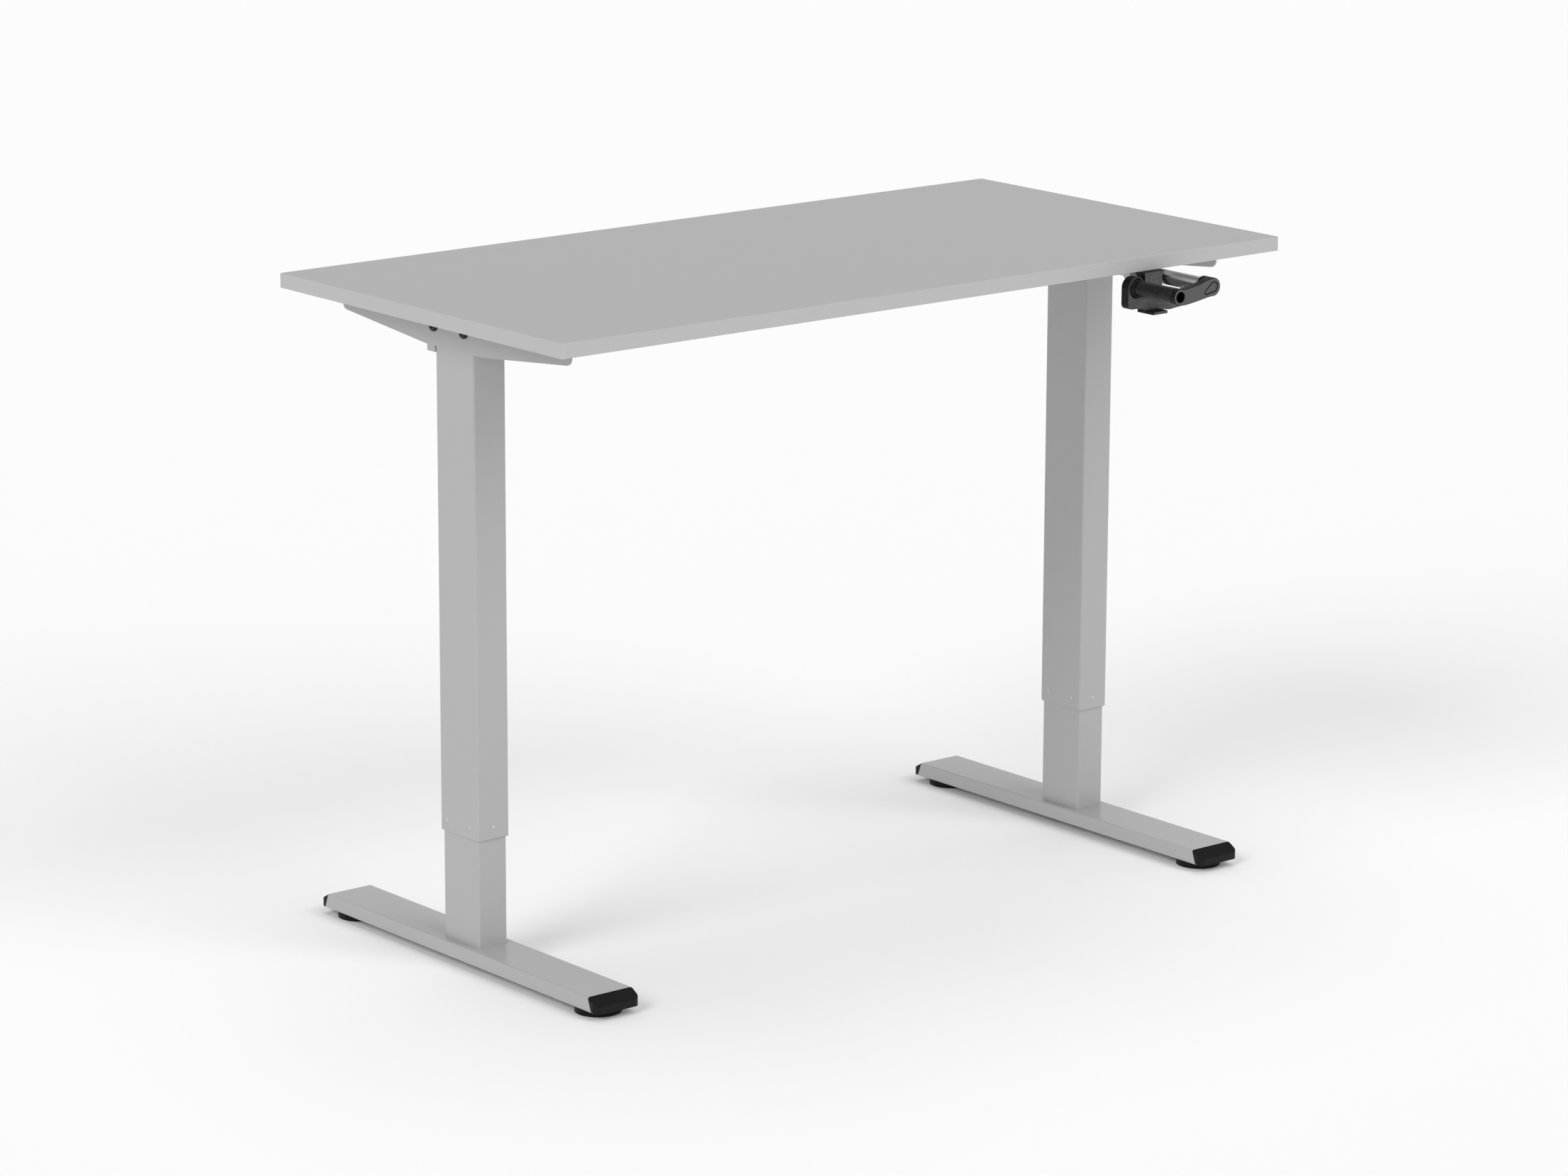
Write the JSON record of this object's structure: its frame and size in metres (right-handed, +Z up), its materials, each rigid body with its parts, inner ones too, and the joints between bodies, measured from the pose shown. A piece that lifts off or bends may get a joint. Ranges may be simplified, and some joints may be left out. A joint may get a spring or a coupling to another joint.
{
  "type": "height adjustable standing desk",
  "caption": "Rectangular worktop on a T-foot steel frame with telescopic columns, raised and lowered by a hand crank under the front edge.",
  "frame": {"origin": "on the floor, midway between the four glides, under the centre of the worktop", "axes": "+X to the user's right along the worktop, +Y away from the user, +Z up"},
  "size_m": [1.2, 0.693, 0.8665],
  "materials": {
    "worktop_melamine": "smooth satin light grey melamine",
    "frame_paint": "satin light grey powder coat",
    "cap_plastic": "satin black",
    "crank_plastic": "spark-eroded black",
    "grip_plastic": "satin black",
    "glide_plastic": "satin black",
    "guide_plastic": "waxy off-white",
    "gear_plastic": "smooth off-white",
    "bright_steel": "zinc plated",
    "crank_chrome": "polished chrome plate",
    "black_steel": "black",
    "nut_brass": "machined"
  },
  "bodies": {
    "base": {"foot_left": "frame_paint", "inner_tube_left": "frame_paint", "upper_guide_left": "guide_plastic", "nut_plate_left": "bright_steel", "spindle_nut_left": "nut_brass", "foot_right": "frame_paint", "inner_tube_right": "frame_paint", "upper_guide_right": "guide_plastic", "nut_plate_right": "bright_steel", "spindle_nut_right": "nut_brass", "foot_cap_left_front": "cap_plastic", "foot_cap_left_back": "cap_plastic", "foot_cap_right_front": "cap_plastic", "foot_cap_right_back": "cap_plastic", "column_bases": "frame_paint", "base_bolts": "bright_steel", "glide_inserts": "bright_steel"},
    "top": {"worktop": "worktop_melamine", "worktop_screws": "bright_steel", "side_bracket_left": "frame_paint", "head_housing_left": "frame_paint", "outer_tube_left": "frame_paint", "lower_guide_left": "guide_plastic", "side_bracket_right": "frame_paint", "head_housing_right": "frame_paint", "outer_tube_right": "frame_paint", "lower_guide_right": "guide_plastic", "bracket_bolts": "black_steel", "thrust_bearings": "bright_steel", "beam_left": "frame_paint", "beam_right": "frame_paint", "beam_bolts": "bright_steel", "crank_gearbox": "frame_paint", "crank_holder": "crank_plastic", "tube_bearing": "frame_paint"},
    "cross_shaft": {"cross_shaft": "bright_steel", "cross_gear_left": "gear_plastic", "cross_gear_middle": "gear_plastic", "cross_gear_right": "gear_plastic"},
    "drive_shaft": {"drive_rod": "bright_steel", "drive_gear": "gear_plastic"},
    "crank": {"crank_tube": "crank_chrome", "tube_insert": "guide_plastic", "crank_arm": "crank_plastic", "arm_cap": "crank_plastic", "grip_ring": "grip_plastic"},
    "grip": {"grip": "grip_plastic"},
    "left_spindle": {"spindle_left": "bright_steel", "spindle_gear_left": "gear_plastic"},
    "left_front_glide": {"glide_left_front": "glide_plastic", "glide_stud_left_front": "bright_steel"},
    "left_back_glide": {"glide_left_back": "glide_plastic", "glide_stud_left_back": "bright_steel"},
    "right_spindle": {"spindle_right": "bright_steel", "spindle_gear_right": "gear_plastic"},
    "right_front_glide": {"glide_right_front": "glide_plastic", "glide_stud_right_front": "bright_steel"},
    "right_back_glide": {"glide_right_back": "glide_plastic", "glide_stud_right_back": "bright_steel"}
  },
  "joints": [
    {"name": "desk_lift", "type": "slide", "parent": "base", "child": "top", "axis": [0, 0, 1], "range_m": [-0.14, 0.33]},
    {"name": "cross_shaft_turn", "type": "hinge", "parent": "top", "child": "cross_shaft", "pos_m": [0, 0, 0.8355], "axis": [1, 0, 0], "range_deg": [-10081, 23761]},
    {"name": "left_spindle_turn", "type": "hinge", "parent": "top", "child": "left_spindle", "pos_m": [-0.5176, 0, 0.6], "axis": [0, 0, 1], "range_deg": [-10081, 23761]},
    {"name": "right_spindle_turn", "type": "hinge", "parent": "top", "child": "right_spindle", "pos_m": [0.5176, 0, 0.6], "axis": [0, 0, 1], "range_deg": [-10081, 23761]},
    {"name": "crank_turn", "type": "hinge", "parent": "top", "child": "drive_shaft", "pos_m": [0.392, 0, 0.8355], "axis": [0, 1, 0], "range_deg": [-10081, 23761]},
    {"name": "crank_pull", "type": "slide", "parent": "drive_shaft", "child": "crank", "axis": [0, -1, 0], "range_m": [0, 0.055]},
    {"name": "grip_spin", "type": "hinge", "parent": "crank", "child": "grip", "pos_m": [0.3332, -0.35, 0.8284], "axis": [0, 1, 0], "continuous": true},
    {"name": "left_front_glide_screw", "type": "slide", "parent": "base", "child": "left_front_glide", "axis": [0, 0, -1], "range_m": [0, 0.01]},
    {"name": "left_back_glide_screw", "type": "slide", "parent": "base", "child": "left_back_glide", "axis": [0, 0, -1], "range_m": [0, 0.01]},
    {"name": "right_front_glide_screw", "type": "slide", "parent": "base", "child": "right_front_glide", "axis": [0, 0, -1], "range_m": [0, 0.01]},
    {"name": "right_back_glide_screw", "type": "slide", "parent": "base", "child": "right_back_glide", "axis": [0, 0, -1], "range_m": [0, 0.01]}
  ],
  "couplings": [
    {"joint": "cross_shaft_turn", "follows": "desk_lift", "rad_per_m": 1256.6},
    {"joint": "left_spindle_turn", "follows": "desk_lift", "rad_per_m": 1256.6},
    {"joint": "right_spindle_turn", "follows": "desk_lift", "rad_per_m": 1256.6},
    {"joint": "crank_turn", "follows": "desk_lift", "rad_per_m": 1256.6}
  ]
}
